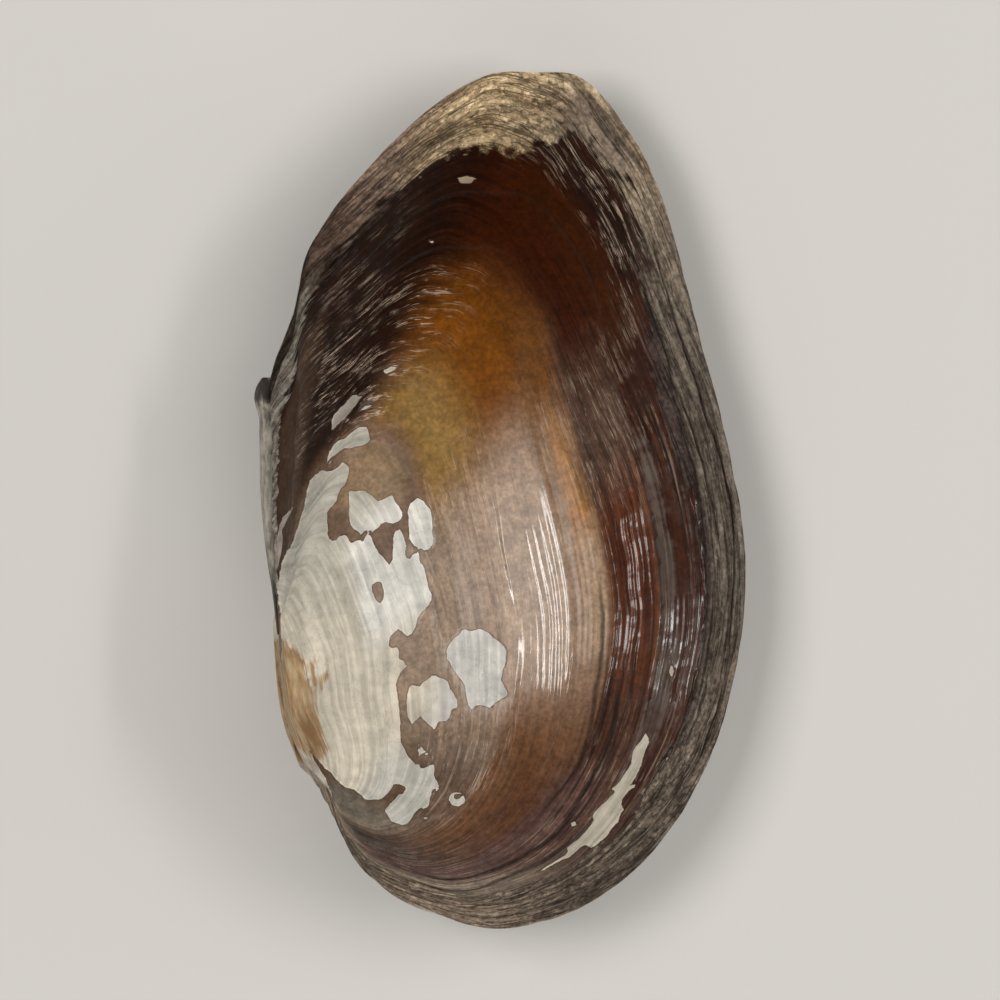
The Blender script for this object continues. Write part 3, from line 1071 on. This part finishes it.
# Right valve: the mirror of the left in form, which the shell lies on. Its skin has worn off
# the beak in its own pattern, and two ledges are rubbed flat where it touches the surface.
RIGHT_BARE = (
    ((262, 560), (283, 548), (300, 560), (322, 552), (340, 566), (351, 590), (372, 601),
     (386, 628), (378, 652), (390, 671), (384, 700), (392, 722), (377, 741), (381, 768),
     (360, 781), (338, 772), (322, 785), (262, 790)),
    ((415, 610), (432, 606), (441, 622), (436, 648), (420, 655), (411, 634)),
    ((405, 700), (420, 694), (431, 709), (424, 729), (408, 724)),
    ((355, 500), (372, 494), (381, 509), (370, 524), (356, 517)),
)
RIGHT_STAIN = (
    ((250, 640), (288, 636), (302, 655), (300, 676), (314, 701), (318, 724), (331, 748),
     (322, 764), (250, 760)),
)
right_data = grow_valve("right_shell", -1, 57, RIGHT_BARE, (), RIGHT_STAIN, 1.0)
right_data.materials.append(shell_surface)
right_data.materials.append(pearly_lining)
right_shell = bpy.data.objects.new("right_shell", right_data)
bpy.context.scene.collection.objects.link(right_shell)
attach(right_shell, "root")
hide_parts("right_valve")

# Ligament: a dried leathery band that bridges the two valves along the hinge, behind the beaks.
# It is black brown, cracked across, and ends behind in a blunt lump.
LIGAMENT = (    # in millimetres: distance behind the beak, depth of its middle, half its depth and width
    (9.0, 0.03, 0.08, 0.30), (13.0, 0.01, 0.16, 0.80), (17.0, -0.10, 0.32, 1.20),
    (22.0, -0.04, 0.42, 1.45), (27.0, 0.26, 0.40, 1.40), (29.5, 0.36, 0.35, 1.25),
    (31.0, 0.10, 0.36, 1.05), (32.2, 0.28, 0.34, 0.80), (33.2, 0.75, 0.15, 0.40),
)
LIGAMENT_ROOT = 0.9             # how much further it reaches down between the valves
LIMED_FROM = 11.0               # a pale limy deposit lies on it between these, behind the beak
LIMED_TO = 32.0
LIGAMENT_SEGMENTS = 64
LIGAMENT_RINGS = 240


def ligament_material():
    """Dark dried leather, with lighter worn fibres and a limy deposit."""
    material, shader, place = new_material("dried_ligament")
    tree = place.tree
    fibre = add_node(tree, "ShaderNodeMapping", 0, Vector=place, Scale=(1.0, 0.25, 1.0),
                     Rotation=(0, 0, -LEAN))
    strands = noise_of(fibre, 2600.0, 4.0)
    cloud = noise_of(place, 500.0, 3.0)
    colour = blend_colours(cloud, (0.010, 0.007, 0.006), (0.035, 0.024, 0.018))
    worn = step_between(strands, 0.50, 0.75) * 0.6
    colour = blend_colours(worn, colour, (0.10, 0.085, 0.07))
    lime = spread(strands) * 0.6 + spread(cloud) * 0.4
    lime_colour = blend_colours(lime, (0.12, 0.10, 0.085), (0.46, 0.42, 0.35))
    limed = read(tree, "limed") + (strands * 1.2 + (cloud * 1.4 - 1.3))
    colour = blend_colours(step_between(limed, 0.05, 0.95), colour, lime_colour)
    feed(shader["Base Color"], colour)
    feed(shader["Roughness"], cloud * 0.35 + 0.38)
    feed(shader["Normal"], add_node(tree, "ShaderNodeBump", "Normal", Height=strands * 0.06, Distance=MM))
    return material


band = bmesh.new()
bmesh.ops.create_uvsphere(
    band, u_segments=LIGAMENT_SEGMENTS, v_segments=LIGAMENT_RINGS, radius=1.0)
band_data = bpy.data.meshes.new("ligament_band")
band.to_mesh(band_data)
ball = numpy.zeros(len(band_data.vertices) * 3)
band_data.vertices.foreach_get("co", ball)
ball = ball.reshape(-1, 3)
band_along = numpy.arccos(numpy.clip(-ball[:, 2], -1, 1)) / numpy.pi
around = ball[:, :2] / numpy.maximum(numpy.linalg.norm(ball[:, :2], axis=1), 1e-3)[:, None]
stations = smooth_through(LIGAMENT, LIGAMENT_RINGS + 1)
share = numpy.linspace(0, 1, LIGAMENT_RINGS + 1)
behind, depth, half_depth, half_width = [
    numpy.interp(band_along, share, column) for column in stations.T]
cracks = rough(band_along * 60, around[:, 1] * 2, 5) + rough(band_along * 9, around[:, 1] * 6, 6)
swell = 1 + numpy.clip(0.05 * cracks, -0.12, 0.0) * 1.5
inward = numpy.where(around[:, 0] > 0, LIGAMENT_ROOT, 0.0) * ramp(band_along, 0.0, 0.25)
band_places = numpy.stack([
    depth + (half_depth * swell + inward) * around[:, 0], behind,
    half_width * around[:, 1] * swell], axis=1) * MM
put(band_data, "limed", "FLOAT", "value",
    ramp(behind, LIMED_FROM, LIMED_FROM + 8) * (1 - ramp(behind, LIMED_TO - 3, LIMED_TO)))
band_data.vertices.foreach_set("co", to_resting_pose(band_places).ravel())
band.clear()
band.from_mesh(band_data)
bmesh.ops.recalc_face_normals(band, faces=band.faces)
band.to_mesh(band_data)
band.free()
band_data.shade_smooth()
band_data.materials.append(ligament_material())
ligament_band = bpy.data.objects.new("ligament_band", band_data)
bpy.context.scene.collection.objects.link(ligament_band)
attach(ligament_band, "root")
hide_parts("ligament")
